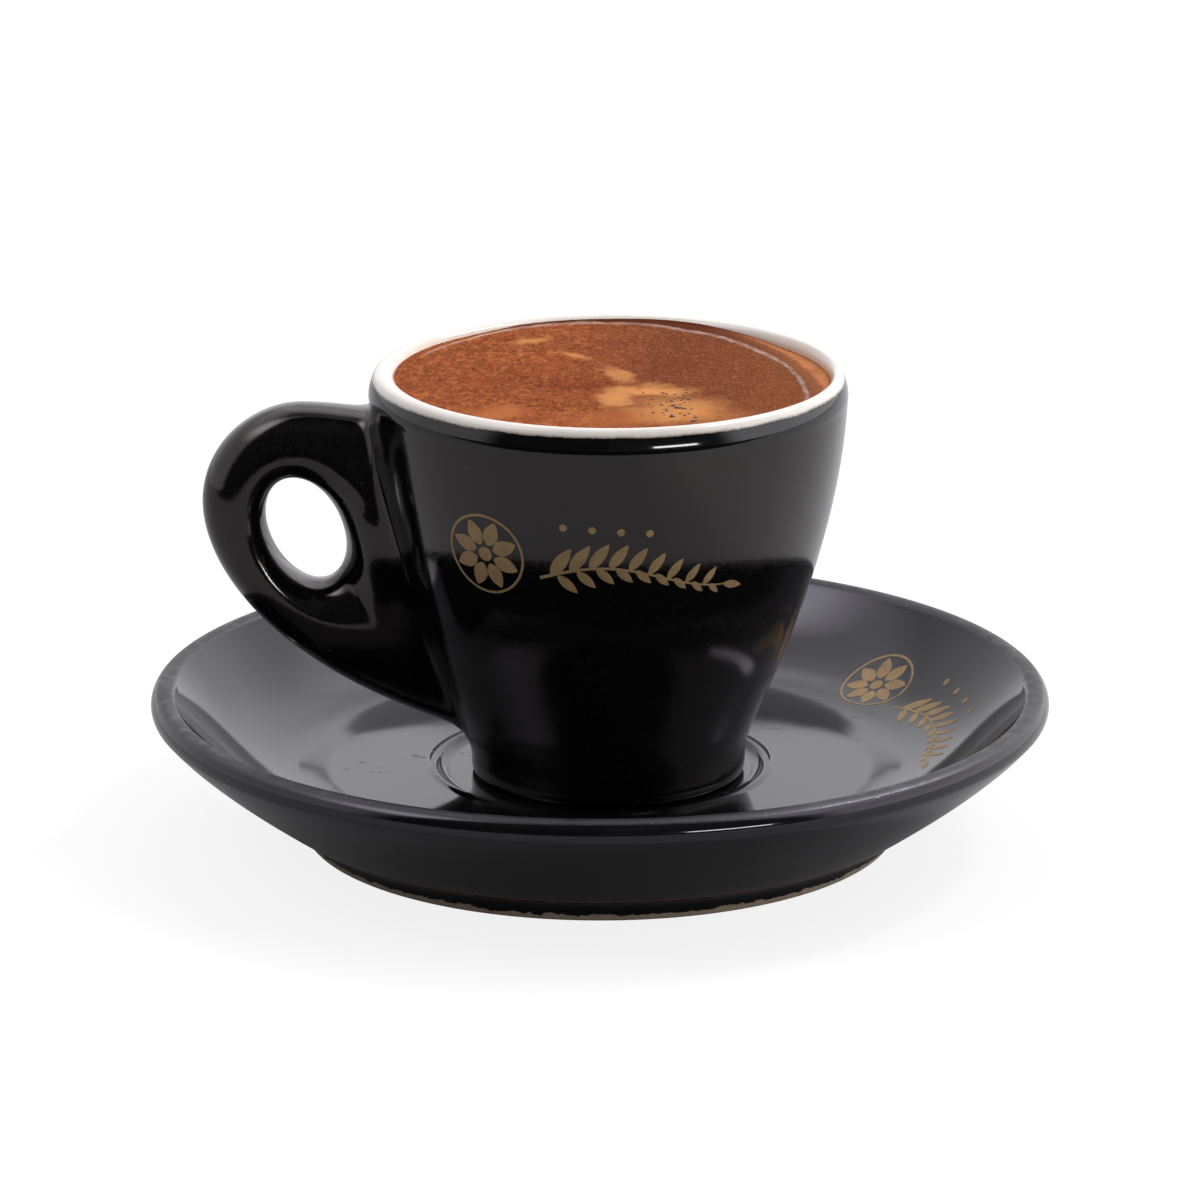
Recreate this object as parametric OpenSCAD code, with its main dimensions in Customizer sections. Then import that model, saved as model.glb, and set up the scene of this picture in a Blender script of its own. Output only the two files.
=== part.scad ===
// Espresso shot: a glazed cup full of espresso, standing in the well of its saucer.
// Heights are measured from the surface that the saucer stands on.
// The saucer's centre is the origin and the handle points along -X.

/* [Saucer] */
// Diameter over the rim
saucer_d = 120; // [112:1:140]
// Height of the rim's crest
saucer_h = 20; // [18:0.5:24]
// Thickness of the rounded rim
rim_t = 3.7; // [3:0.1:4.5]
// Diameter of the foot ring where it stands
saucer_foot_d = 79.2; // [72:0.5:84]
// Height of the flared foot ring
saucer_foot_h = 3.9; // [3:0.1:4.5]
// Diameter of the well that the cup stands in
well_d = 42; // [40:0.5:48]
// Height of the well's floor
well_z = 8.2; // [7.5:0.1:9]

/* [Cup] */
// Height of the cup by itself
cup_h = 55.3; // [50:0.5:60]
// Diameter at the top of the conical wall
cup_d = 63.3; // [58:0.5:68]
// Diameter of the foot
cup_foot_d = 36.6; // [34:0.2:39]
// Height of the upright foot below the cone
cup_foot_h = 5.6; // [4:0.2:8]
// Thickness of the rounded lip
lip_t = 2.64; // [2.2:0.1:3.4]
// Height of the smooth band below the lip
band_h = 2.4; // [1.6:0.1:4]
// Thickness of the floor
floor_t = 5.2; // [4:0.2:8]
// How far the cup stands off the saucer's centre, away from the handle
cup_shift = 1.1; // [0:0.1:1.5]

/* [Handle] */
// Reach from the cup's axis to the back of the handle
handle_reach = 53.9; // [50:0.5:56]
// Thickness of the ear, front to back
handle_t = 11; // [9:0.5:13]
// Length of the finger hole
hole_l = 15; // [13:0.5:17]
// Width of the finger hole
hole_w = 9.8; // [8:0.2:11]
// Lean of the finger hole, its top away from the cup
hole_lean = 22; // [10:1:30]

/* [Espresso] */
// How far the drink stays below the lip's crest
brim_gap = 0.75; // [0.5:0.05:12]

/* [Hidden] */
$fn = 144;
steps = 14;
glaze_black = [0.07, 0.07, 0.075];
crema_brown = [0.66, 0.33, 0.13];

// Saucer: centre of the rounded rim, and the surface between the rim and the well
rim_r = saucer_d / 2 - rim_t / 2;
rim_z = saucer_h - rim_t / 2;
foot_r = saucer_foot_d / 2;
foot_ring_w = 3;
recess_z = 3.4;
land_z = well_z + 0.7;
well_r = well_d / 2;

// Cup: radii and heights of the wall, the lip and the neck above the foot
wall_r = cup_d / 2;
cup_foot_r = cup_foot_d / 2;
top_z = well_z + cup_h;
lip_r = wall_r - 0.52 - lip_t / 2;
lip_z = top_z - lip_t / 2;
band_z = lip_z - band_h;
neck_z = well_z + cup_foot_h;
neck_r = cup_foot_r + 0.4;
cavity_r = lip_r - lip_t / 2;
cavity_z = well_z + floor_t;
level_z = top_z - brim_gap;

// Ear: centre of the finger hole, and the outline's crown, back and tail
hole_x = -handle_reach + 13.7;
hole_z = well_z + 33.5;
crown = [hole_x + 0.3, hole_z + 17.2];
back = [-handle_reach, hole_z + 3.7];
tail = [-cup_foot_r - 1.7, neck_z + 0.7];
root_top = [-wall_r + 2.6, hole_z + 14.6];
ear_rings = 60;
ear_sides = 18;

// Point on a quadratic or a cubic Bezier curve
function bez2(a, b, c, t) = (1 - t) * (1 - t) * a + 2 * t * (1 - t) * b + t * t * c;
function bez3(a, b, c, d, t) = (1 - t) * bez2(a, b, c, t) + t * bez2(b, c, d, t);
function curve2(a, b, c) = [for (i = [1:steps]) bez2(a, b, c, i / steps)];
function curve3(a, b, c, d) = [for (i = [1:2 * steps]) bez3(a, b, c, d, i / steps / 2)];
// Points round an arc about c, from angle a0 to a1
function arc(c, r, a0, a1) = [
    for (i = [0:steps])
        let (a = a0 + (a1 - a0) * i / steps)
        c + r * [cos(a), sin(a)]
];

// Outer wall from the neck to the band: it leans out and turns upright
function wall(t) =
    bez2([neck_r, neck_z], [wall_r, neck_z + 0.62 * (band_z - neck_z)], [wall_r, band_z], t);

// Inner wall from the middle of the floor to the lip
cavity_side = curve3(
    [0, cavity_z],
    [0.58 * cavity_r, cavity_z],
    [cavity_r, cavity_z + 0.58 * (lip_z - cavity_z)],
    [cavity_r, lip_z]
);

saucer_outline = concat(
    [[0, recess_z], [foot_r - foot_ring_w - 0.8, recess_z], [foot_r - foot_ring_w, 0.3]],
    [[foot_r - foot_ring_w + 0.3, 0], [foot_r - 0.2, 0], [foot_r + 0.1, 0.2]],
    curve2(
        [foot_r + 0.1, 0.2],
        [foot_r + 0.9, saucer_foot_h - 0.6],
        [foot_r + 3.9, saucer_foot_h]
    ),
    curve2(
        [foot_r + 3.9, saucer_foot_h],
        [saucer_d / 2 - 4.6, 0.6 * saucer_h],
        [rim_r + rim_t / 2 * cos(-28), rim_z + rim_t / 2 * sin(-28)]
    ),
    arc([rim_r, rim_z], rim_t / 2, -24, 144),
    curve3(
        [rim_r + rim_t / 2 * cos(144), rim_z + rim_t / 2 * sin(144)],
        [saucer_d / 2 - 10.5, saucer_h - 8.6],
        [foot_r + 6.5, land_z + 0.1],
        [foot_r - 4, land_z]
    ),
    curve2([well_r + 1.8, land_z], [well_r + 0.7, land_z], [well_r + 0.4, well_z + 0.35]),
    curve2([well_r + 0.4, well_z + 0.35], [well_r + 0.1, well_z], [well_r - 0.6, well_z]),
    [[0, well_z]]
);

cup_outline = concat(
    [[0, well_z], [cup_foot_r - 0.8, well_z]],
    arc([cup_foot_r - 0.7, well_z + 0.7], 0.7, -90, 0),
    curve2(
        [cup_foot_r + 0.1, neck_z - 2.6],
        [cup_foot_r + 0.2, neck_z - 0.9],
        wall(0.03)
    ),
    [for (i = [1:2 * steps]) wall(0.03 + 0.97 * i / steps / 2)],
    [[wall_r - 0.3, band_z + 0.15]],
    curve2(
        [wall_r - 0.1, band_z + 0.3],
        [wall_r + 0.15, band_z + 0.75 * band_h],
        [lip_r + lip_t / 2 * cos(20), lip_z + lip_t / 2 * sin(20)]
    ),
    arc([lip_r, lip_z], lip_t / 2, 26, 180),
    [[0, lip_z]]
);

// Half thickness of the ear by direction round the finger hole: it swells towards the cup
function ear_half(a) = handle_t / 2 + 2.6 * pow(max(0, cos(a)), 2);

// Outline of the ear, once round: crown to back, back to tail, then up inside the cup's wall
function inside_wall(t) = let (p = wall(t)) [-p[0] + 1.5, p[1]];
ear_outline = concat(
    [for (i = [0:19]) bez3(crown, crown + [-7.6, 0], back + [0, 7.4], back, i / 20)],
    [for (i = [0:29]) bez3(back, back + [0, -9.4], [tail[0] - 24, tail[1] + 7.8], tail, i / 30)],
    [for (i = [0:9]) bez2(tail, [tail[0] + 2.5, tail[1] + 4], inside_wall(0.2), i / 10)],
    [for (i = [0:11]) inside_wall(0.2 + 0.55 * i / 12)],
    [for (i = [0:11]) bez2(inside_wall(0.75), inside_wall(0.88), root_top, i / 12)],
    [for (i = [0:11]) bez2(root_top, [root_top[0] - 4, crown[1]], crown, i / 12)]
);

// Edge of the finger hole in the direction of an outline point
function hole_edge(p) =
    let (
        d = p - [hole_x, hole_z],
        a = atan2(d[1], d[0]),
        u = cos(a - 90 - hole_lean) / (hole_l / 2),
        v = sin(a - 90 - hole_lean) / (hole_w / 2)
    )
    [hole_x, hole_z] + [cos(a), sin(a)] / sqrt(u * u + v * v);

// One rounded section across the ear, from the hole's edge to the outline
function squash(v, n) = sign(v) * pow(abs(v), 2 / n);
function ear_ring(p) =
    let (
        h = hole_edge(p),
        m = (p + h) / 2,
        w = (p - h) / 2,
        half = ear_half(atan2(w[1], w[0]))
    )
    [
        for (k = [0:ear_sides - 1])
            let (
                a = 360 * (k + 0.5) / ear_sides,
                q = m + w * squash(cos(a), 2.5)
            )
            [q[0], half * squash(sin(a), 2.5), q[1]]
    ];

module saucer() {
    color(glaze_black)
        rotate_extrude() polygon(saucer_outline);
}

// The ear is one closed loop of rings round the finger hole
module ear() {
    rings = [for (p = ear_outline) ear_ring(p)];
    n = len(rings);
    polyhedron(
        points = [for (r = rings) each r],
        faces = [
            for (i = [0:n - 1], k = [0:ear_sides - 1])
                let (
                    j = (i + 1) % n,
                    l = (k + 1) % ear_sides,
                    a = i * ear_sides + k,
                    b = j * ear_sides + k,
                    c = j * ear_sides + l,
                    d = i * ear_sides + l
                )
                each [[a, b, c], [a, c, d]]
        ],
        convexity = 6
    );
}

module cavity(top) {
    rotate_extrude()
        polygon(concat(cavity_side, [[cavity_r, top], [0, top]]));
}

module cup() {
    color(glaze_black)
        translate([cup_shift, 0, 0])
            difference() {
                union() {
                    rotate_extrude() polygon(cup_outline);
                    ear();
                }
                cavity(top_z + 1);
                translate([0, 0, well_z - 1])
                    cylinder(h = 2.2, r1 = cup_foot_r - 3.4, r2 = cup_foot_r - 4.2);
            }
}

module espresso() {
    color(crema_brown)
        translate([cup_shift, 0, 0])
            intersection() {
                cavity(top_z);
                cylinder(h = level_z, r = wall_r);
            }
}

saucer();
cup();
espresso();
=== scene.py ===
"""A full espresso cup, black outside and white inside, standing in its black saucer."""

import itertools
import math

import bpy
import numpy as np
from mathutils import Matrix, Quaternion, Vector


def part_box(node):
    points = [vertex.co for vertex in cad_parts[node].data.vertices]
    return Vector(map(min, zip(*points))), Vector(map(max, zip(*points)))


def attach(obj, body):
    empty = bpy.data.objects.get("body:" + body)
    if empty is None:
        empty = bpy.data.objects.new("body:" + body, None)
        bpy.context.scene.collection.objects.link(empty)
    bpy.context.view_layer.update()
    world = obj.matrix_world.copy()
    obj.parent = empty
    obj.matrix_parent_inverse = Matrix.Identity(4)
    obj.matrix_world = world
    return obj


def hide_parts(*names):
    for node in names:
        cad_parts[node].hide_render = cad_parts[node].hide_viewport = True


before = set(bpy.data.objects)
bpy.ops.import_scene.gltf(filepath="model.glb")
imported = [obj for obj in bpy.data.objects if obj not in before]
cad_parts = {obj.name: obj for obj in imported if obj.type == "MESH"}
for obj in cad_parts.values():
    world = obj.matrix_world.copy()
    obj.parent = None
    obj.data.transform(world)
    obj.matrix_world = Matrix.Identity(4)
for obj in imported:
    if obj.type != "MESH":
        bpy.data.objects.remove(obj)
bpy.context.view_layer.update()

MM = 0.001
# Points round a turned piece, and points along a plain curve of an outline
TURNS = 384
SAUCER_TURNS = 280
FINE = 28

# ---------------------------------------------------------------- sizes, in millimetres
saucer_low, saucer_high = (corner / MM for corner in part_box("saucer"))
cup_low, cup_high = (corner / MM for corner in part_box("cup"))
drink_low, drink_high = (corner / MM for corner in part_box("espresso"))

# The saucer: its rim, its foot ring with the recess inside it, the well and the land round the well
saucer_r = (saucer_high.y - saucer_low.y) / 2
saucer_h = saucer_high.z
rim_half = 1.85
rim_r = saucer_r - rim_half
rim_z = saucer_h - rim_half
foot_r = 39.6
foot_h = 3.9
recess_z = 3.4
well_r = 21.0
well_z = cup_low.z
land_z = well_z + 0.7

# The cup: its wall, lip and the band under it, its foot with the neck above, its inside and drink
cup_x = (drink_low.x + drink_high.x) / 2
wall_r = 31.65
top_z = cup_high.z
lip_half = 1.15
lip_r = wall_r - 0.5 - lip_half
lip_z = top_z - 0.2 - lip_half
band_z = top_z - 3.72
cup_foot_r = 18.3
neck_z = well_z + 5.6
neck_r = cup_foot_r + 0.4
cavity_r = lip_r - lip_half
cavity_off = 0.6
cavity_z = drink_low.z
level_z = drink_high.z

# The ear: its reach and half its thickness, then how far out its section is thickest, from the
# hole at 0 to the outline at 1, and how square the section is. The hole is an upright, leaning oval.
ear_back = cup_x - cup_low.x
ear_half_t = 5.5
ear_ridge = 0.37
ear_square = 2.2
hole_x = 13.7 - ear_back
hole_z = well_z + 33.5
hole_half_l = 7.5
hole_half_w = 4.9
hole_lean = math.radians(22)


# ---------------------------------------------------------------- curves and outlines
def ease(value, low, high):
    """0 at low and 1 at high, smoothly between them."""
    t = np.clip((value - low) / (high - low), 0, 1)
    return t * t * (3 - 2 * t)


def curve(*guides, steps=FINE):
    """Points along the Bezier curve of three or four guide points, the first one left out."""
    guides = np.array(guides, float)
    order = len(guides) - 1
    t = np.linspace(0, 1, steps + 1)[1:, None]
    weights = [math.comb(order, k) * t**k * (1 - t) ** (order - k) for k in range(order + 1)]
    return sum(w * g for w, g in zip(weights, guides))


def arc(centre, radius, start, end, steps=60):
    """Points round an arc, with its angles in degrees."""
    a = np.radians(np.linspace(start, end, steps + 1))
    return np.array(centre) + radius * np.column_stack([np.cos(a), np.sin(a)])


def wall_curve(t):
    """Outer wall of the cup as (radius, height), from the neck at 0 to the band at 1."""
    t = np.asarray(t, float)[..., None]
    rise = band_z - neck_z
    start = np.array([neck_r, neck_z])
    low = np.array([neck_r + 0.68 * (wall_r - neck_r), neck_z + 0.413 * rise])
    high = np.array([wall_r - 0.45, neck_z + 0.746 * rise])
    end = np.array([wall_r, band_z])
    lower = (1 - t) ** 3 * start + 3 * t * (1 - t) ** 2 * low
    return lower + 3 * t * t * (1 - t) * high + t**3 * end


def saucer_outline():
    """The saucer's section, from the middle of its underside round the rim to the well."""
    rim = arc([rim_r, rim_z], rim_half, -28, 144)
    return np.vstack([
        [[0, recess_z], [foot_r - 5, recess_z]],
        curve([foot_r - 5, recess_z], [foot_r - 3.4, recess_z], [foot_r - 3.1, 1.6]),
        curve([foot_r - 3.1, 1.6], [foot_r - 3, 0], [foot_r - 2.2, 0], steps=12),
        curve([foot_r - 0.6, 0], [foot_r, 0], [foot_r + 0.15, 0.5], steps=10),
        curve([foot_r + 0.15, 0.5], [foot_r + 0.9, foot_h - 0.7], [foot_r + 3.6, foot_h - 0.1]),
        curve([foot_r + 3.6, foot_h - 0.1], [foot_r + 4, foot_h], [foot_r + 4.4, foot_h + 0.3]),
        curve([foot_r + 4.4, foot_h + 0.3], [saucer_r - 4.6, 0.6 * saucer_h], rim[0]),
        rim[1:],
        curve(
            rim[-1],
            [saucer_r - 10.5, saucer_h - 8.6],
            [foot_r + 6.5, land_z + 0.1],
            [foot_r - 4, land_z],
            steps=60,
        ),
        [[30, land_z]],
        curve([well_r + 2.6, land_z], [well_r + 2.1, land_z], [well_r + 1.7, land_z + 0.16]),
        curve(
            [well_r + 1.7, land_z + 0.16], [well_r + 1.1, land_z + 0.3], [well_r + 0.7, land_z - 0.1]
        ),
        curve([well_r + 0.7, land_z - 0.1], [well_r + 0.2, well_z - 0.05], [well_r - 0.8, well_z]),
        [[0, well_z]],
    ])


def lip_outline():
    """Section of the ring that crowns the cup: the band, the lip and the wall inside it."""
    over_lip = arc([lip_r, lip_z], lip_half, 22, 180)
    return np.vstack([
        curve(
            [wall_r - 0.05, band_z - 0.55], [wall_r + 0.03, band_z - 0.1], [wall_r + 0.06, band_z + 0.4]
        ),
        curve([wall_r + 0.06, band_z + 0.4], [wall_r + 0.03, band_z + 1.6], over_lip[0]),
        over_lip[1:],
        [[cavity_r, lip_z - 3], [cavity_r + 0.6, lip_z - 4]],
        [[wall_r - 0.05, band_z - 0.55]],
    ])


# ---------------------------------------------------------------- meshes
def new_piece(name, points, faces, finishes, replaced=()):
    """A smooth-shaded object of points in millimetres that rides with the set."""
    mesh = bpy.data.meshes.new(name)
    mesh.from_pydata((np.asarray(points) * MM).tolist(), [], [list(f) for f in faces])
    mesh.shade_smooth()
    for finish in finishes:
        mesh.materials.append(finish)
    piece = bpy.data.objects.new(name, mesh)
    bpy.context.scene.collection.objects.link(piece)
    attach(piece, "root")
    if replaced:
        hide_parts(*replaced)
    return piece


def lathe(outline, centre_x=0.0, turns=TURNS, ring=False):
    """Points and faces of an outline spun about the vertical. Ends on the axis become one point."""
    outline = np.asarray(outline, float)
    turn = np.linspace(0, 2 * math.pi, turns, endpoint=False)
    points, rows = [], []
    for r, z in outline:
        first = len(points)
        if r < 1e-6:
            points.append((centre_x, 0, z))
            rows.append([first] * turns)
        else:
            points.extend((centre_x + r * math.cos(a), r * math.sin(a), z) for a in turn)
            rows.append(list(range(first, first + turns)))
    if ring:
        rows[-1] = rows[0]
        points = points[:-turns]
    faces = []
    for low, high in itertools.pairwise(rows):
        for i in range(turns):
            j = (i + 1) % turns
            corners = [low[i], low[j], high[j], high[i]]
            faces.append([c for k, c in enumerate(corners) if c != corners[k - 1]])
    return points, faces


# ---------------------------------------------------------------- the cup's body and ear
def soft_min(a, b, reach):
    """The smaller of two distances, blended smoothly where they are within reach."""
    h = np.maximum(reach - np.abs(a - b), 0) / reach
    return np.minimum(a, b) - h**3 * reach / 6


def soft_max(a, b, reach):
    """The larger of two distances, blended the same way."""
    return -soft_min(-a, -b, reach)


def height_table(outline):
    """Radius of a wall by height, from its outline, and how far its slope shortens a distance."""
    z = np.linspace(outline[0, 1], outline[-1, 1], 1500)
    r = np.interp(z, outline[:, 1], outline[:, 0])
    return z, r, 1 / np.sqrt(1 + np.gradient(r, z) ** 2)


outer_table = height_table(np.vstack([
    [[cup_foot_r - 0.2, well_z - 1], [cup_foot_r, well_z + 0.6]],
    curve(
        [cup_foot_r + 0.05, neck_z - 2.6],
        [cup_foot_r + 0.2, neck_z - 0.8],
        wall_curve(0.04),
        steps=200,
    ),
    wall_curve(np.linspace(0.045, 1, 600)),
    [[wall_r - 0.02, band_z + 0.7], [wall_r - 0.6, band_z + 1.4], [wall_r - 1.0, band_z + 2]],
]))
cavity_table = height_table(curve(
    [0, cavity_z],
    [0.58 * cavity_r, cavity_z],
    [cavity_r, cavity_z + 0.58 * (lip_z - cavity_z)],
    [cavity_r, lip_z],
    steps=600,
))


def ear_outline():
    """Outline of the ear seen from the side, closed inside the cup's wall."""
    crown = np.array([hole_x + 0.3, hole_z + 17.2])
    back = np.array([-ear_back, hole_z + 3.7])
    tail = np.array([-cup_foot_r - 1.7, neck_z + 0.7])
    root_top = np.array([10.5 - wall_r, hole_z + 8.5])
    root_low = np.array([2.5 - cup_foot_r, neck_z + 8])
    return np.vstack([
        curve(crown, crown + [-7.6, 0], back + [0, 7.4], back, steps=300),
        curve(back, back + [0, -9.4], tail + [-24, 7.8], tail, steps=500),
        curve(tail, tail + [4, -1.3], root_low + [0, -5], root_low, steps=100),
        curve(root_low, root_low + [0, 8], root_top + [0, -8], root_top, steps=200),
        curve(root_top, root_top + [0, 6], crown + [11, 0], crown, steps=200),
    ])


def polar_table():
    """Distance from the middle of the finger hole to the ear's outline, by direction."""
    away = ear_outline() - [hole_x, hole_z]
    angle = np.arctan2(away[:, 1], away[:, 0])
    order = np.argsort(angle)
    return angle[order], np.hypot(away[:, 0], away[:, 1])[order]


ear_angle, ear_reach = polar_table()


def ear_field(x, y, z):
    """Below 0 inside the ear, whose rounded section runs round the hole, out to the outline."""
    dx, dz = x - hole_x, z - hole_z
    angle = np.arctan2(dz, dx)
    outer = np.interp(angle, ear_angle, ear_reach, period=2 * math.pi)
    lean = angle - math.pi / 2 - hole_lean
    inner = 1 / np.hypot(np.cos(lean) / hole_half_l, np.sin(lean) / hole_half_w)
    ridge = inner + ear_ridge * (outer - inner)
    away = np.hypot(dx, dz) - ridge
    across = np.where(away > 0, away / (outer - ridge), away / (ridge - inner))
    half = ear_half_t + 2.6 * np.maximum(np.cos(angle), 0) ** 2
    total = np.abs(across) ** ear_square + np.abs(y / half) ** ear_square
    return total ** (1 / ear_square) - 1


def cup_field(p):
    """About the distance to the cup below its lip, negative inside, at points p round its axis."""
    x, y, z = p
    r = np.hypot(x, y)
    height, radius, steep = outer_table
    body = (r - np.interp(z, height, radius)) * np.interp(z, height, steep)
    step = 0.05
    ear = ear_field(x, y, z)
    grow = np.sqrt(
        ((ear_field(x + step, y, z) - ear) / step) ** 2
        + ((ear_field(x, y + step, z) - ear) / step) ** 2
        + ((ear_field(x, y, z + step) - ear) / step) ** 2
    )
    ear = ear / np.maximum(grow, 0.02)
    joined = soft_min(body, ear, 4.2)
    added = body - joined
    # The ear and its fillet end below the band
    joined = soft_max(joined, z - band_z + 1.5 - 0.16 * (r - wall_r), 2.5)
    solid = soft_min(body, joined, 0.01 + 1.8 * ease(added, 0.0, 1.5))
    # The standing edge, and the recess under the foot
    solid = soft_max(solid, well_z - z, 1.6)
    recess = soft_max(z - well_z - 1.1, r - cup_foot_r + 3.8, 1.2)
    solid = soft_max(solid, -recess, 1.2)
    # The inside
    height, radius, steep = cavity_table
    hollow = np.hypot(x - cavity_off, y) - np.interp(z, height, radius)
    hollow = hollow * np.interp(z, height, steep)
    hollow = np.where(z < cavity_z, cavity_z - z, hollow)
    solid = np.maximum(solid, -hollow)
    # The top, hidden inside the ring of the lip
    return soft_max(solid, z - band_z - 1.4, 0.6)


def slope(field, p, step=0.02):
    """Gradient of a field at points p."""
    out = np.empty_like(p)
    for k in range(3):
        ahead, behind = p.copy(), p.copy()
        ahead[k] += step
        behind[k] -= step
        out[k] = (field(ahead) - field(behind)) / (2 * step)
    return out


def surface_net(field, low, high, cell):
    """Quads over a field's zero level: one point in each cell that the level crosses."""
    axes = [np.arange(a, b + cell, cell) for a, b in zip(low, high)]
    grid = np.stack(np.meshgrid(*axes, indexing="ij"))
    value = field(grid.reshape(3, -1)).reshape(grid.shape[1:])
    inside = value < 0
    shape = np.array(value.shape) - 1
    corner = {}
    for c in itertools.product((0, 1), repeat=3):
        corner[c] = tuple(slice(c[k], c[k] + shape[k]) for k in range(3))
    total = np.zeros((3, *shape))
    count = np.zeros(shape)
    for a, b in itertools.combinations(corner, 2):
        if sum(abs(i - j) for i, j in zip(a, b)) != 1:
            continue
        va, vb = value[corner[a]], value[corner[b]]
        crossed = inside[corner[a]] != inside[corner[b]]
        t = np.where(crossed, va / np.where(crossed, va - vb, 1), 0)
        for k in range(3):
            total[k] += np.where(crossed, a[k] + (b[k] - a[k]) * t, 0)
        count += crossed
    used = count > 0
    number = np.full(shape, -1)
    number[used] = np.arange(used.sum())
    cells = np.argwhere(used).T
    points = np.array(low)[:, None] + cell * (cells + total[:, used] / count[used])
    faces = []
    for axis in range(3):
        u, v = (axis + 1) % 3, (axis + 2) % 3
        here = tuple(slice(1, -1) if k != axis else slice(0, -1) for k in range(3))
        ahead = tuple(slice(1, -1) if k != axis else slice(1, None) for k in range(3))
        leaving = inside[here] & ~inside[ahead]
        entering = ~inside[here] & inside[ahead]
        for crossed, flip in ((leaving, False), (entering, True)):
            at = np.argwhere(crossed)
            at[:, u] += 1
            at[:, v] += 1
            ring = []
            for du, dv in ((0, 0), (-1, 0), (-1, -1), (0, -1)):
                step = at.copy()
                step[:, u] += du
                step[:, v] += dv
                ring.append(number[tuple(step.T)])
            faces.append(np.column_stack(ring[::-1] if flip else ring))
    return points, np.vstack(faces)


def relax(points, faces, field, rounds):
    """Spreads a net's points evenly and settles them on the field's zero level.

    The last two rounds only settle them.
    """
    edges = np.vstack([faces[:, [k, (k + 1) % 4]] for k in range(4)])
    count = np.bincount(edges.ravel(), minlength=points.shape[1])
    for turn in range(rounds):
        if turn < rounds - 2:
            mean = np.empty_like(points)
            for k in range(3):
                near = np.bincount(edges[:, 0], points[k][edges[:, 1]], points.shape[1])
                near += np.bincount(edges[:, 1], points[k][edges[:, 0]], points.shape[1])
                mean[k] = near / count
            points = 0.5 * points + 0.5 * mean
        normal = slope(field, points)
        square = np.maximum((normal**2).sum(0), 1e-6)
        points = points - np.clip(field(points) / square, -0.4, 0.4) * normal
    normal = slope(field, points)
    return points, normal / np.linalg.norm(normal, axis=0)


def build_cup(black, white):
    """The cup and its ear, black outside, with the second finish inside."""
    cell = 0.55
    low = [-ear_back - 1.5, -wall_r - 2, well_z - 1]
    high = [wall_r + 2, wall_r + 2, band_z + 3]
    points, faces = surface_net(cup_field, low, high, cell)
    points, normals = relax(points, faces, cup_field, 6)
    place = (points + [[cup_x], [0], [0]]).T
    piece = new_piece("cup_body", place, faces, [black, white], replaced=["cup"])
    r = np.hypot(points[0] - cavity_off, points[1])
    height, radius, _ = cavity_table
    hollow = (points[2] > cavity_z - 0.3) & (r < np.interp(points[2], height, radius) + 0.4)
    inner = hollow[faces].all(1)
    piece.data.polygons.foreach_set("material_index", inner.astype(np.int32))
    piece.data.normals_split_custom_set_from_vertices(normals.T.tolist())


def build_lip(finish):
    """The band and lip, spun round the cup, with the inside a little off centre, away from the ear."""
    points, faces = lathe(lip_outline(), cup_x, ring=True)
    points = np.array(points)
    r = np.hypot(points[:, 0] - cup_x, points[:, 1])
    points[:, 0] += cavity_off * ease(r, lip_r + lip_half, lip_r - lip_half)
    new_piece("cup_lip", points, faces, [finish])


# ---------------------------------------------------------------- the crema
def grain(x, y, cell, seed):
    """Smooth random heights from -1 to 1 on a lattice of the given cell."""
    table = np.random.default_rng(seed).uniform(-1, 1, (128, 128))
    u, v = x / cell + 64, y / cell + 64
    i, j = np.floor(u).astype(int), np.floor(v).astype(int)
    s, t = (w * w * (3 - 2 * w) for w in (u - i, v - j))
    mix = [table[(i + a) % 128, (j + b) % 128] for a in (0, 1) for b in (0, 1)]
    return (mix[0] * (1 - t) + mix[1] * t) * (1 - s) + (mix[2] * (1 - t) + mix[3] * t) * s


# The calm crema is an oval that runs under the lip in front. Behind and to the right it leaves a
# ring between itself and the wall. pool_r is half its width.
pool_r = 27.4
pool_x = -1.6
pool_y = -10.0
pool_stretch = 1.387
crema_sink = 0.28


def crema_height(x, y):
    """Height of the crema over the drink's level, in the cup's own place."""
    wave = 0.22 * grain(x, y, 5, 3) + 0.12 * grain(x, y, 1.1, 4)
    out = np.hypot(x - pool_x, (y - pool_y) / pool_stretch) - pool_r - wave
    # The ring outside the oval, and the low ridge along the oval's edge
    collar = (0.22 * ease(out, -0.2, 0.9) + 0.04 * np.maximum(out, 0)) * ease(x, -19, -8)
    ridge = 0.07 * np.exp(-((out - 0.1) / 0.3) ** 2)
    # The crema clings to the wall at the back and lies lower at the wall on the right
    r = np.hypot(x - cavity_off, y)
    climb = 0.2 * np.exp(-(cavity_r + 0.2 - r) / 0.35)
    climb = climb * ease(y, 8, 24) * ease(x, 18, 8) * ease(x, -20, -8)
    tilt = -0.15 * ease(x, 6, 27) - 1.05 * ease(out, 0.9, 5.0) * ease(x, 9, 27)
    rough = 0.35 + 0.65 * ease(-x, -8, 10)
    foam = rough * (0.022 * grain(x, y, 0.9, 5) + 0.014 * grain(x, y, 0.45, 6))
    swell = 0.05 * grain(x, y, 6, 7)
    return collar + ridge + climb + tilt + foam + swell - crema_sink


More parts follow.
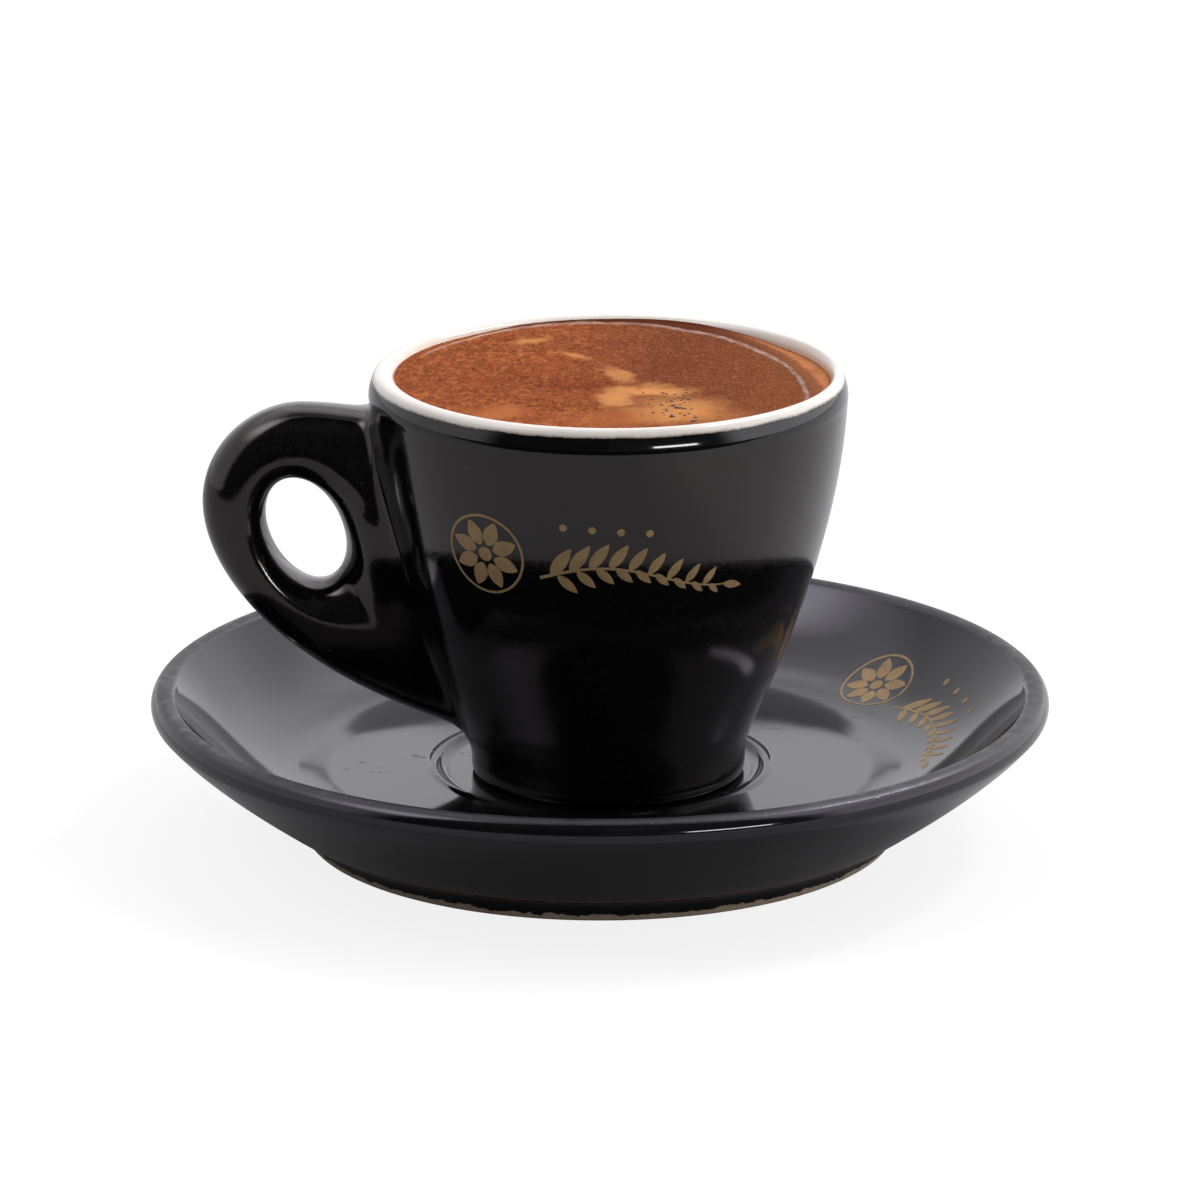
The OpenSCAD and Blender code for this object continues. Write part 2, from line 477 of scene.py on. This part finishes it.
def build_crema(finish):
    """The drink: a calm crema on top, the rest a plain body that fills the cup."""
    rings, turns = ((138, 600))
    edge = cavity_r + 0.22
    spread = np.linspace(0, 1, rings + 1)[1:] * edge
    turn = np.linspace(0, 2 * math.pi, turns, endpoint=False)
    r, a = np.meshgrid(spread, turn, indexing="ij")
    x, y = cavity_off + r * np.cos(a), r * np.sin(a)
    z = level_z + crema_height(x, y)
    middle = level_z + float(crema_height(np.array([cavity_off]), np.zeros(1))[0])
    points = [(cavity_off, 0, middle)]
    points += np.column_stack([x.ravel(), y.ravel(), z.ravel()]).tolist()
    height, radius, _ = cavity_table
    below = np.linspace(lip_z - 1.5, cavity_z + 0.4, 24)
    for depth in below:
        size = np.interp(depth, height, radius) - 0.05
        points += np.column_stack([
            cavity_off + size * np.cos(turn), size * np.sin(turn), np.full(turns, depth)
        ]).tolist()
    points.append((cavity_off, 0, cavity_z + 0.2))
    points = np.array(points) + [cup_x, 0, 0]
    last = len(points) - 1
    faces = [(0, 1 + i, 1 + (i + 1) % turns) for i in range(turns)]
    for row in range(rings + len(below) - 1):
        low = 1 + row * turns
        for i in range(turns):
            j = (i + 1) % turns
            faces.append((low + i, low + turns + i, low + turns + j, low + j))
    low = last - turns
    faces += [(low + i, last, low + (i + 1) % turns) for i in range(turns)]
    new_piece("crema_and_coffee", points, faces, [finish], ["espresso"])


def build_bubbles(finish):
    """Small open bubbles where the last drops of the shot broke the crema."""
    rng = np.random.default_rng(11)
    # Each spot is x, y and radius: the largest ones, then the cluster round them, then pinholes
    spots = [(8.4, -15.4, 0.36), (8.9, -16.5, 0.44), (8.2, -21.0, 0.4), (10.9, -23.3, 0.36)]
    spots += [(7.1, -9.0, 0.28), (7.6, -9.4, 0.25), (10.5, -12.1, 0.32), (11.2, -21.4, 0.28)]
    for _ in range(64):
        x, y = rng.normal([8.6, -16.5], [2.2, 5.0])
        spots.append((x, y, rng.uniform(0.12, 0.26)))
    for _ in range(40):
        angle, away = rng.uniform(0, 2 * math.pi), 24 * math.sqrt(rng.uniform())
        spots.append((away * math.cos(angle), away * math.sin(angle), rng.uniform(0.05, 0.09)))
    points, faces = [], []
    turns, rings = 20, 4
    for x, y, size in spots:
        first = len(points)
        centre = level_z + float(crema_height(np.array([x]), np.array([y]))[0])
        for k in range(rings):
            tilt = math.pi / 2 * k / (rings - 0.5)
            for i in range(turns):
                a = 2 * math.pi * i / turns
                px = x + size * math.cos(tilt) * math.cos(a)
                py = y + size * 0.9 * math.cos(tilt) * math.sin(a)
                points.append((px, py, centre + 0.45 * size * math.sin(tilt)))
        points.append((x, y, centre + 0.45 * size))
        points.append((x, y, centre - 0.15))
        top, bottom = len(points) - 2, len(points) - 1
        for k in range(rings - 1):
            for i in range(turns):
                j = (i + 1) % turns
                low = first + k * turns
                faces.append((low + i, low + j, low + turns + j, low + turns + i))
        low = first + (rings - 1) * turns
        faces += [(low + i, low + (i + 1) % turns, top) for i in range(turns)]
        faces += [(first + (i + 1) % turns, first + i, bottom) for i in range(turns)]
    points = np.array(points) + [cup_x, 0, 0]
    new_piece("crema_bubbles", points, faces, [finish])


# ---------------------------------------------------------------- the gold ornament
def strip(path, half):
    """A flat strip along a path, as rows of points across it."""
    path = np.asarray(path, float)
    along = np.gradient(path, axis=0)
    along /= np.linalg.norm(along, axis=1)[:, None]
    side = np.column_stack([-along[:, 1], along[:, 0]])
    across = np.linspace(-1, 1, 5)
    return path[:, None, :] + across[None, :, None] * (side * np.asarray(half)[:, None])[:, None, :]


def leaf(root, angle, length, width, steps=18):
    """A pointed leaf from its root."""
    t = np.linspace(0.01, 0.99, steps)
    path = np.array(root) + length * t[:, None] * [math.cos(angle), math.sin(angle)]
    return strip(path, width / 2 * np.sin(math.pi * t**0.85) ** 0.8)


def dot(centre, radius, steps=14):
    """A round spot."""
    t = np.linspace(0.02, 0.98, steps)
    path = np.array(centre) + radius * np.column_stack([2 * t - 1, 0 * t])
    return strip(path, radius * np.sqrt(1 - (2 * t - 1) ** 2))


def stem_at(t):
    """Place on the twig's stem, from its root at 0 to its tip at 1."""
    return np.stack([-7 + 25 * t, -2.4 + 1.7 * np.sin(1.5 * math.pi * t)], axis=-1)


def ornament():
    """A rosette with a leafy twig beside it, laid out flat in millimetres from its middle."""
    rosette_x, bud_r, ring_r, ring_points = -14.6, 1.35, 5.4, 90
    strips = [dot((rosette_x, 0), 1.0)]
    for k in range(8):
        angle = k * math.pi / 4 + math.pi / 8
        root = (rosette_x + bud_r * math.cos(angle), bud_r * math.sin(angle))
        strips.append(leaf(root, angle, 3.6, 2.1))
    turn = np.linspace(0, 2 * math.pi, ring_points)
    ring = np.column_stack([rosette_x + ring_r * np.cos(turn), ring_r * np.sin(turn)])
    strips.append(strip(ring, np.full(ring_points, 0.17)))
    t = np.linspace(0, 1, 60)
    strips.append(strip(stem_at(t), 0.22 * (1 - 0.5 * t)))
    for k in range(9):
        s = 0.06 + 0.102 * k
        root = stem_at(s)
        size = 5.0 - 2.4 * s
        strips.append(leaf(root, 0.95, size, 0.36 * size))
        strips.append(leaf(root + [0.9, 0], -0.75, 0.72 * size, 0.28 * size))
    strips.append(leaf((18, -4.1), -0.2, 3.0, 1.1))
    for k in range(4):
        strips.append(dot((-3.6 + 3.6 * k, 4.9 - 0.25 * k), 0.5))
    return strips


def build_print(name, place, finish):
    """The ornament laid on a surface. place maps flat points and a lift to points of the set."""
    points, faces = [], []
    for rows in ornament():
        n, m = rows.shape[:2]
        flat = rows.reshape(-1, 2)
        first = len(points)
        points += place(flat, 0.035).tolist()
        points += place(flat, -0.06).tolist()
        number = first + np.arange(n * m).reshape(n, m)
        for top, flip in ((number, False), (number + n * m, True)):
            for i, j in itertools.product(range(n - 1), range(m - 1)):
                quad = [top[i, j], top[i + 1, j], top[i + 1, j + 1], top[i, j + 1]]
                faces.append(quad if flip else quad[::-1])
        border = [*number[0, :-1], *number[:-1, -1], *number[-1, :0:-1], *number[:0:-1, 0]]
        for a, b in zip(border, border[1:] + border[:1]):
            faces.append([b, a, a + n * m, b + n * m])
    piece = new_piece(name, points, faces, [finish])
    piece.data.shade_flat()
    return piece


def on_cup(flat, lift):
    """Wraps flat points round the front of the cup."""
    middle_z, middle_r, middle_turn = 45.2, 29.4, -4.0
    height, radius, _ = outer_table
    z = middle_z + flat[:, 1]
    r = np.interp(z, height, radius) + lift
    angle = math.radians(middle_turn) + flat[:, 0] / middle_r
    return np.column_stack([cup_x + r * np.sin(angle), -r * np.cos(angle), z])


saucer_top = saucer_outline()
# From the well out to the crest, so that the radius grows along it
saucer_top = saucer_top[np.argmax(saucer_top[:, 1]):][::-1]


def on_saucer(flat, lift):
    """Wraps flat points round the slope of the saucer, their tops outwards."""
    middle_r, middle_turn, flatten = 47.3, 18.5, 0.85
    r = middle_r + flatten * flat[:, 1]
    angle = math.radians(middle_turn) - flat[:, 0] / middle_r
    z = np.interp(r, saucer_top[:, 0], saucer_top[:, 1]) + lift
    return np.column_stack([r * np.cos(angle), r * np.sin(angle), z])


# ---------------------------------------------------------------- shader maths
class Wire:
    """A value inside a shader. Sums on wires add Math nodes."""

    def __init__(self, finish, socket):
        self.finish = finish
        self.socket = socket

    def __add__(self, other):
        return self.finish.math("ADD", self, other)

    def __sub__(self, other):
        return self.finish.math("SUBTRACT", self, other)

    def __rsub__(self, other):
        return self.finish.math("SUBTRACT", other, self)

    def __mul__(self, other):
        return self.finish.math("MULTIPLY", self, other)

    def __truediv__(self, other):
        return self.finish.math("DIVIDE", self, other)

    __radd__ = __add__
    __rmul__ = __mul__


class Finish:
    """The nodes of one material, or of the studio's surroundings."""

    def __init__(self, owner):
        owner.use_nodes = True
        self.owner = owner
        self.tree = owner.node_tree
        self.tree.nodes.clear()

    def add(self, kind, settings, values, out=0):
        """Adds a node, sets its settings and then its sockets, and gives one of its outputs."""
        node = self.tree.nodes.new("ShaderNode" + kind)
        for name, setting in settings.items():
            setattr(node, name, setting)
        for name, value in values.items():
            if isinstance(value, Wire):
                self.tree.links.new(value.socket, node.inputs[name])
            else:
                node.inputs[name].default_value = value
        return Wire(self, node.outputs[out]) if node.outputs else None

    def math(self, operation, *values):
        return self.add("Math", {"operation": operation}, dict(enumerate(values)))

    def length(self, x, y):
        """How far x and y reach together."""
        return self.math("SQRT", x * x + y * y)

    def most(self, first, *others):
        """The greatest of several values."""
        for other in others:
            first = self.math("MAXIMUM", first, other)
        return first

    def ease(self, value, low, high):
        """0 at low and 1 at high, smoothly between them."""
        limits = {"Value": value, "From Min": low, "From Max": high}
        return self.add("MapRange", {"interpolation_type": "SMOOTHSTEP"}, limits)

    def blend(self, mask, first, second):
        """The second colour where the mask is 1."""
        return self.add("Mix", {"data_type": "RGBA"}, {0: mask, 6: first, 7: second}, 2)

    def split(self, vector):
        """The x, y and z of a vector."""
        outputs = self.add("SeparateXYZ", {}, {0: vector}).socket.node.outputs
        return [Wire(self, output) for output in outputs]

    def place(self, middle=(0, 0, 0)):
        """x, y and z in millimetres from a middle."""
        own_place = self.add("TexCoord", {}, {}, "Object")
        values = {0: own_place, 1: (1 / MM,) * 3, 2: [-c for c in middle]}
        self.spot = self.add("VectorMath", {"operation": "MULTIPLY_ADD"}, values)
        return self.split(self.spot)

    def noise(self, size, detail=2.0, roughness=0.5, stretch=(1, 1, 1), shift=0.0):
        """Cloudy noise from 0 to 1, with lumps of the given size in millimetres."""
        grow = tuple(1 / (size * s) for s in stretch)
        values = {0: self.spot, 1: grow, 2: (shift, 0.7 * shift, -0.4 * shift)}
        where = self.add("VectorMath", {"operation": "MULTIPLY_ADD"}, values)
        look = {"Vector": where, "Scale": 1.0, "Detail": detail, "Roughness": roughness}
        return self.add("TexNoise", {}, look)

    def sway(self, reach, *look, **more):
        """Cloudy noise on both sides of 0, over the given reach in all."""
        return (self.noise(*look, **more) - 0.5) * reach

    def cells(self, size):
        """Distance to the nearest of scattered points, in cell widths."""
        values = {0: self.spot, 1: (1 / size,) * 3}
        where = self.add("VectorMath", {"operation": "MULTIPLY"}, values)
        return self.add("TexVoronoi", {"feature": "F1"}, {"Vector": where, "Scale": 1.0})

    def bump(self, height, strength=1.0):
        """A normal from heights in millimetres."""
        return self.add("Bump", {}, {"Height": height, "Distance": MM, "Strength": strength})

    def surface(self, **values):
        """Ends the material with one Principled surface. An underscore stands for a space."""
        named = {name.replace("_", " "): value for name, value in values.items()}
        shader = self.add("BsdfPrincipled", {}, named)
        self.add("OutputMaterial", {}, {"Surface": shader})
        return self.owner


def paint(red, green, blue):
    """A colour given as it shows on a screen, 0 to 255, for a shader socket."""
    shown = (c / 255 for c in (red, green, blue))
    return (*(c / 12.92 if c < 0.04 else ((c + 0.055) / 1.055) ** 2.4 for c in shown), 1.0)


def shade(red, green, blue):
    """A colour as it shows under this studio's light, turned back into the paint's own."""
    light = 0.72
    *paints, solid = paint(red, green, blue)
    return (*(light * c for c in paints), solid)


def grey(level):
    """A plain grey for a shader socket."""
    return (level, level, level, 1)


def new_finish(name):
    return Finish(bpy.data.materials.new(name))


CUP_MIDDLE = (cup_x, 0, 0)
BLACK = (0.0022, 0.002, 0.002, 1)


# ---------------------------------------------------------------- finishes
def glaze_relief(f):
    """The slow waves and fine orange peel that a fired glaze keeps, in millimetres."""
    return f.noise(9, 1) * 0.02 + f.noise(1.6, 1) * 0.0016


def black_cup_glaze():
    """Black glaze with dust and faint smears, a little duller low on the cup. Its gloss is warm."""
    f = new_finish("black_cup_glaze")
    _, _, z = f.place(CUP_MIDDLE)
    dust = f.ease(f.cells(1.9), 0.075, 0.03) * f.ease(f.noise(7, 2, shift=3), 0.52, 0.66)
    smear = f.ease(f.noise(14, 3, stretch=(1, 1, 0.4)), 0.5, 0.75)
    grit = f.ease(f.noise(0.3, 2, 0.7), 0.5, 0.72)
    base = f.blend(grit, BLACK, (0.011, 0.01, 0.0095, 1))
    base = f.blend(dust * 0.5, base, paint(120, 116, 110))
    rough = 0.07 + smear * 0.035 + dust * 0.3 + f.ease(z, 36, 22) * 0.12
    height = glaze_relief(f) + grit * 0.004
    return f.surface(
        Base_Color=base,
        Roughness=rough,
        IOR=1.5,
        Specular_Tint=(1.0, 0.92, 0.89, 1),
        Normal=f.bump(height, 0.6),
    )


def white_glaze():
    """The cup's inside below the lip."""
    f = new_finish("white_glaze")
    f.place(CUP_MIDDLE)
    base = f.blend(f.noise(5, 2), paint(226, 221, 215), paint(219, 213, 206))
    return f.surface(
        Base_Color=base, Roughness=0.16, IOR=1.5, Normal=f.bump(glaze_relief(f), 0.5)
    )


def lip_glaze():
    """White over the lip, black below it, with a thin brown edge where the two glazes meet."""
    f = new_finish("lip_glaze")
    x, y, z = f.place(CUP_MIDDLE)
    r = f.length(x, y)
    ragged = f.sway(0.3, 4, 2) + f.sway(0.3, 0.45, 3, 0.7)
    fall = (lip_z + 0.16 - z) + ragged + f.ease(r, lip_r + 0.2, lip_r - 0.6) * -4
    black = f.ease(fall, -0.03, 0.1)
    brown = f.ease(fall, -0.32, 0.0) * (0.35 + f.noise(1.2, 2, shift=9) * 0.6)
    inside = f.ease(r, lip_r - 0.9, cavity_r + 0.02) * f.ease(f.noise(2.4, 3), 0.3, 0.6)
    white = f.blend(f.noise(6, 2), paint(226, 221, 213), paint(214, 207, 197))
    white = f.blend(inside * 0.35, white, paint(205, 168, 132))
    rim = f.blend(brown, white, paint(112, 92, 74))
    base = f.blend(black, rim, BLACK)
    rough = 0.14 - black * 0.06
    return f.surface(
        Base_Color=base, Roughness=rough, IOR=1.5, Normal=f.bump(glaze_relief(f), 0.6)
    )


def black_saucer_glaze():
    """Black glaze, worn matt on the crest of the rim, brown where it breaks, bare at the foot."""
    f = new_finish("black_saucer_glaze")
    x, y, z = f.place()
    r = f.length(x, y)
    worn = f.ease(z, saucer_h - 0.7, saucer_h - 0.1) * f.ease(r, rim_r - 2.2, rim_r - 1.2)
    patches = f.ease(f.noise(2.2, 3), 0.3, 0.62)
    pits = f.ease(f.cells(0.75), 0.34, 0.12) * f.ease(f.noise(3.4, 2, shift=5), 0.35, 0.6)
    crest = worn * (0.7 + patches * 0.3)
    dust = f.ease(f.cells(2.1), 0.07, 0.03) * f.ease(f.noise(8, 2, shift=3), 0.5, 0.66)
    line = f.math("ABSOLUTE", z - foot_h - 0.12 + f.sway(0.25, 2.5, 2))
    breaks = f.ease(line, 0.34, 0.05) * f.ease(r, foot_r, foot_r + 1.5)
    edge = z - 0.95 + f.sway(1.5, 1.6, 3, 0.6)
    bare = f.ease(edge, 0.08, -0.05) * f.ease(r, foot_r - 4.2, foot_r - 3.4)
    clay = f.blend(f.noise(0.7, 3, 0.7), paint(128, 112, 92), paint(172, 156, 134))
    grit = f.ease(f.noise(0.24, 2, 0.6), 0.5, 0.72) * 0.5
    base = f.blend(grit, (0.0022, 0.002, 0.0021, 1), (0.013, 0.0125, 0.013, 1))
    base = f.blend(crest * 0.8, base, paint(20, 19, 20))
    base = f.blend(pits * worn * 0.7, base, paint(14, 13, 13))
    base = f.blend(dust * 0.5, base, paint(128, 124, 118))
    base = f.blend(breaks * 0.8, base, paint(104, 74, 52))
    base = f.blend(bare, base, clay)
    haze = f.ease(f.noise(16, 3, shift=2), 0.45, 0.75)
    marks = f.ease(f.noise(1.3, 4, 0.7, stretch=(2.2, 1, 1), shift=11), 0.6, 0.68)
    marks = marks * f.ease(f.noise(12, 1, shift=6), 0.5, 0.62) * f.ease(r, 44, 36)
    rough = 0.07 + haze * 0.03 + crest * 0.45 + bare * 0.6 + dust * 0.3 + marks * 0.35
    height = glaze_relief(f) - pits * worn * 0.05 + crest * f.noise(0.42, 2, 0.6) * 0.035
    height = height + bare * (f.noise(0.4, 3) * 0.08 - 0.12)
    return f.surface(
        Base_Color=base,
        Roughness=rough,
        IOR=1.5,
        Specular_Tint=(0.93, 0.9, 1.0, 1),
        Normal=f.bump(height, 0.7),
    )


def gold_print():
    """Thin matt gold, speckled where the glaze shows through."""
    f = new_finish("gold_print")
    f.place()
    bare = f.ease(f.noise(0.32, 3, 0.7), 0.58, 0.7)
    base = f.blend(f.noise(1.5, 2), paint(168, 141, 100), paint(132, 108, 76))
    base = f.blend(bare * 0.8, base, paint(26, 22, 18))
    return f.surface(
        Base_Color=base,
        Metallic=0.55 - bare * 0.5,
        Roughness=0.42 + f.noise(0.8, 2, shift=4) * 0.2,
        Normal=f.bump(f.noise(0.4, 2) * 0.02, 0.6),
    )


def crema_patch(f, x, y, middle, size, lean, soft):
    """1 inside an oval on the crema, fading at its edge."""
    c, s = math.cos(math.radians(lean)), math.sin(math.radians(lean))
    dx, dy = x - middle[0], y - middle[1]
    u = (dx * c + dy * s) / size[0]
    v = (dy * c - dx * s) / size[1]
    return f.ease(f.length(u, v), 1 + soft / 2, 1 - soft)


def crema():
    """Hazel crema with pale and reddish patches, granular to the left and smooth to the right."""
    f = new_finish("crema")
    x, y, _ = f.place(CUP_MIDDLE)
    r = f.length(x, y)
    # wx and wy wander from x and y, so that no patch has a clean edge
    wx = x + f.sway(7, 5, 3, 0.6) + f.sway(1.6, 1.2, 2, shift=6)
    wy = y + f.sway(7, 5, 3, 0.6, shift=8) + f.sway(1.6, 1.2, 2, shift=2)
    # Ground colours, then clouds, grains and specks, mostly on the left
    left = f.ease(wx, 9, -9)
    base = f.blend(left, shade(126, 68, 42), shade(162, 84, 46))
    base = f.blend(f.ease(wx, 14, 24) * 0.7, base, shade(138, 80, 48))
    coarse = (1, 1.6, 1)
    cloud = f.ease(f.noise(5, 3, 0.6, shift=21), 0.46, 0.62)
    base = f.blend(cloud * (0.15 + left * 0.35), base, shade(134, 66, 36))
    grains = f.ease(f.noise(1.05, 4, 0.66, coarse), 0.49, 0.63)
    base = f.blend(grains * (0.14 + left * 0.62), base, shade(204, 120, 64))
    specks = f.ease(f.noise(0.95, 4, 0.66, coarse, 7), 0.51, 0.64)
    base = f.blend(specks * (0.14 + left * 0.64), base, shade(106, 50, 26))
    dots = f.ease(f.noise(0.3, 2, 0.6, coarse, 3), 0.48, 0.64)
    base = f.blend(dots * 0.5, base, shade(104, 54, 32))
    sheen = f.ease(f.noise(0.34, 2, 0.6, coarse, 13), 0.5, 0.66)
    base = f.blend(sheen * 0.4, base, shade(192, 124, 82))
    # Reddish, glowing and pale patches
    red = f.most(
        crema_patch(f, wx, wy, (-5, -5), (8, 4.5), -20, 0.9),
        crema_patch(f, wx, wy, (8, 6), (5, 4), 0, 0.9) * 0.6,
        crema_patch(f, wx, wy, (-13, -2), (4, 7), 0, 0.9) * 0.6,
    )
    base = f.blend(red * (0.45 + specks * 0.5), base, shade(120, 52, 30))
    glow = f.most(
        crema_patch(f, wx, wy, (5, -22), (13, 5.5), 8, 0.9) * 0.6,
        crema_patch(f, wx, wy, (-14.8, -20), (5, 3.5), 30, 0.8) * 0.75,
    )
    base = f.blend(glow, base, shade(198, 118, 68))
    pale = f.most(
        crema_patch(f, wx, wy, (5.5, -8), (6.5, 3.5), 0, 0.7) * 0.85,
        crema_patch(f, wx, wy, (1.1, -11.8), (2.5, 4.5), 0, 0.7) * 0.8,
        crema_patch(f, wx, wy, (9.3, -17.4), (7, 7), 0, 0.8) * 0.7,
        crema_patch(f, wx, wy, (1.4, 0.8), (4.5, 1.8), -65, 0.7) * 0.6,
        crema_patch(f, wx, wy, (-4.2, 10.4), (3.6, 1.3), -50, 0.7) * 0.6,
        crema_patch(f, wx, wy, (-10.1, 18.6), (3.5, 1.8), 60, 0.7) * 0.6,
    )
    tone = f.blend(f.noise(1.1, 3, 0.6, shift=4), shade(214, 138, 76), shade(250, 180, 112))
    base = f.blend(pale, base, tone)
    # The ring between the calm oval and the wall: dark on the left, pale on the right
    out = f.length(x - pool_x, (y - pool_y) / pool_stretch) - pool_r + f.sway(0.7, 3, 3, 0.6)
    collar = f.ease(out, -0.1, 0.6) * f.ease(x, -19, -8)
    side = f.ease(x - y * 0.25, 4, 23)
    rim = f.ease(out + f.sway(1.2, 1.6, 3, 0.7, shift=5), 1.6, 3.0)
    wall = f.blend(side * (0.35 + rim * 0.65), shade(100, 50, 32), shade(208, 136, 90))
    wall = f.blend(specks * 0.35, wall, shade(96, 46, 28))
    base = f.blend(collar * 0.9, base, wall)
    edge = f.ease(r, cavity_r - 0.9, cavity_r - 0.1) * f.ease(x, -16, -6)
    base = f.blend(edge * (1 - side) * 0.6, base, shade(92, 46, 28))
    # A shiny film along the oval's edge, with its highlight painted into the colour as a pale pink line
    film_and_painted_highlight = f.ease(f.math("ABSOLUTE", out - 0.1), 0.42, 0.1) * f.ease(y + x * 0.5, -6, 8)
    film_and_painted_highlight = film_and_painted_highlight * (0.5 + f.ease(f.noise(2.6, 4, 0.7, shift=5), 0.42, 0.6) * 0.5)
    # Painted highlight: a pale pink line blended into the base colour along the film
    base = f.blend(film_and_painted_highlight * f.ease(y, 0, 14) * 0.42, base, shade(210, 164, 140))
    height = f.noise(0.4, 2) * 0.05 * (0.25 + left * 0.75) + f.noise(2.4, 2) * 0.05
    return f.surface(
        Base_Color=base,
        Roughness=0.5 + left * 0.1,
        Specular_IOR_Level=0.0,
        Coat_Weight=0.03 + film_and_painted_highlight * 0.85,
        Coat_Roughness=0.16,
        Normal=f.bump(height, 0.8),
    )


def bubble_skin():
    """The dark, wet skin of the bubbles."""
    f = new_finish("bubble_skin")
    f.place(CUP_MIDDLE)
    base = f.blend(f.noise(0.3, 2), paint(48, 40, 44), paint(92, 58, 44))
    return f.surface(Base_Color=base, Roughness=0.3, IOR=1.3, Normal=f.bump(f.noise(0.2) * 0.01))


# ---------------------------------------------------------------- floor, light and camera
SET_MIDDLE = (0, 0, 0.05)


def build_floor():
    """A floor that shows almost white, while the glaze mirrors a grey table that ends in front."""
    mesh = bpy.data.meshes.new("floor")
    size = 2.5
    corners = [(-size, -size, 0), (size, -size, 0), (size, size, 0), (-size, size, 0)]
    mesh.from_pydata(corners, [], [(0, 1, 2, 3)])
    floor = bpy.data.objects.new("floor", mesh)
    bpy.context.scene.collection.objects.link(floor)
    f = new_finish("pale_floor")
    x, y, _ = f.place()
    seen = f.add("LightPath", {}, {}, "Is Camera Ray")
    table = f.blend(f.ease(x, 30, 120), grey(0.44), grey(0.64))
    table = f.blend(f.ease(y, -215, -255), table, grey(0.02))
    plain = f.add("BsdfDiffuse", {}, {"Color": table})
    bright = f.add("Emission", {}, {"Color": grey(1), "Strength": 1.03})
    lit = f.add("BsdfDiffuse", {}, {"Color": grey(0.9)})
    shown = f.add("MixShader", {}, {0: 0.18, 1: bright, 2: lit})
    final = f.add("MixShader", {}, {0: seen, 1: plain, 2: shown})
    f.add("OutputMaterial", {}, {"Surface": final})
    mesh.materials.append(f.owner)


def build_surroundings():
    """A pale studio: bright behind the cup, dark behind the camera, dim straight overhead.

    turn is measured in degrees from straight behind the cup, to the right, and rise upwards.
    """
    world = bpy.data.worlds.new("studio")
    bpy.context.scene.world = world
    f = Finish(world)
    x, y, z = f.split(f.add("TexCoord", {}, {}, "Generated"))
    turn = f.math("ARCTAN2", x, y) * math.degrees(1)
    rise = f.math("ARCSINE", z) * math.degrees(1)
    around = f.math("ABSOLUTE", turn)
    # The wall behind the cup, brighter to the right, with a dip high in its middle
    low = 0.89 + f.ease(turn, -28, -12) * 0.45 + f.ease(turn, 4, 26) * f.ease(rise, 12, 24) * 0.3
    low = low - f.ease(around, 12, 4) * f.ease(rise, 21, 28) * 0.2
    # Brighter higher up and at the sides
    glow = low + f.ease(rise, 34, 46) * 0.6 + f.ease(around, 75, 100) * 0.1
    # A window high on the left, and a low glow on the right
    glow = glow + f.ease(turn, -66, -98) * f.ease(turn, -140, -112) * f.ease(rise, 36, 56) * 3.2
    glow = glow + f.ease(turn, 30, 80) * f.ease(rise, 30, 10) * 0.6
    # Dim overhead, dark behind the camera
    glow = glow * (1 - f.ease(rise, 60, 78) * 0.8)
    glow = glow * (1 - f.ease(around, 113, 128) * 0.95)
    # A thin, slightly arched dark bar straight behind the cup
    bar = f.ease(f.math("ABSOLUTE", rise - 17.5 + turn * turn * 0.12), 0.42, 0.2)
    bar = bar * f.ease(around, 1.6, 1.35)
    glow = glow * (1 - bar * 0.95)
    seen = f.add("LightPath", {}, {}, "Is Camera Ray")
    strength = f.math("MAXIMUM", glow, seen * 1.05)
    shader = f.add("Background", {}, {"Color": (0.972, 0.962, 1.0, 1), "Strength": strength})
    f.add("OutputWorld", {}, {"Surface": shader})


def softbox(name, middle, width, height, power, roll=0.0):
    """A lamp with a flat rectangular face, turned to the cup and rolled about that way."""
    lamp = bpy.data.lights.new(name, "AREA")
    lamp.shape = "RECTANGLE"
    lamp.size = width
    lamp.size_y = height
    lamp.energy = power
    holder = bpy.data.objects.new(name, lamp)
    holder.location = middle
    way = (Vector(SET_MIDDLE) - Vector(middle)).to_track_quat("-Z", "Y")
    holder.rotation_euler = (way @ Quaternion((0, 0, 1), math.radians(roll))).to_euler()
    bpy.context.scene.collection.objects.link(holder)


def toward(turn, rise, away):
    """A place in the studio: turn is measured from straight behind the cup, to the right."""
    turn, rise = math.radians(turn), math.radians(rise)
    flat = away * math.cos(rise)
    up = SET_MIDDLE[2] + away * math.sin(rise)
    return (flat * math.sin(turn), flat * math.cos(turn), up)


def build_lights():
    softbox("low_strip", toward(148.5, 8, 1.2), 0.44, 0.09, 3)
    softbox("right_softbox", toward(64, 54, 1.25), 0.6, 0.16, 5.5, roll=-59)


def build_camera():
    view = bpy.data.cameras.new("front_view")
    view.lens = 205.2
    view.sensor_width = 36
    camera = bpy.data.objects.new("front_view", view)
    camera.location = (0, -0.8746, 0.2895)
    aim = Vector((0, 0, 0.0316)) - camera.location
    camera.rotation_euler = aim.to_track_quat("-Z", "Y").to_euler()
    bpy.context.scene.collection.objects.link(camera)
    bpy.context.scene.camera = camera


# ---------------------------------------------------------------- the set
scene = bpy.context.scene
scene.view_settings.view_transform = "Standard"

gold = gold_print()
build_cup(black_cup_glaze(), white_glaze())
build_print("cup_ornament", on_cup, gold)

build_lip(lip_glaze())

points, faces = lathe(saucer_outline(), turns=SAUCER_TURNS)
new_piece("saucer_dish", points, faces, [black_saucer_glaze()], ["saucer"])
build_print("saucer_ornament", on_saucer, gold)

build_crema(crema())
build_bubbles(bubble_skin())

build_floor()
build_surroundings()
build_lights()
build_camera()
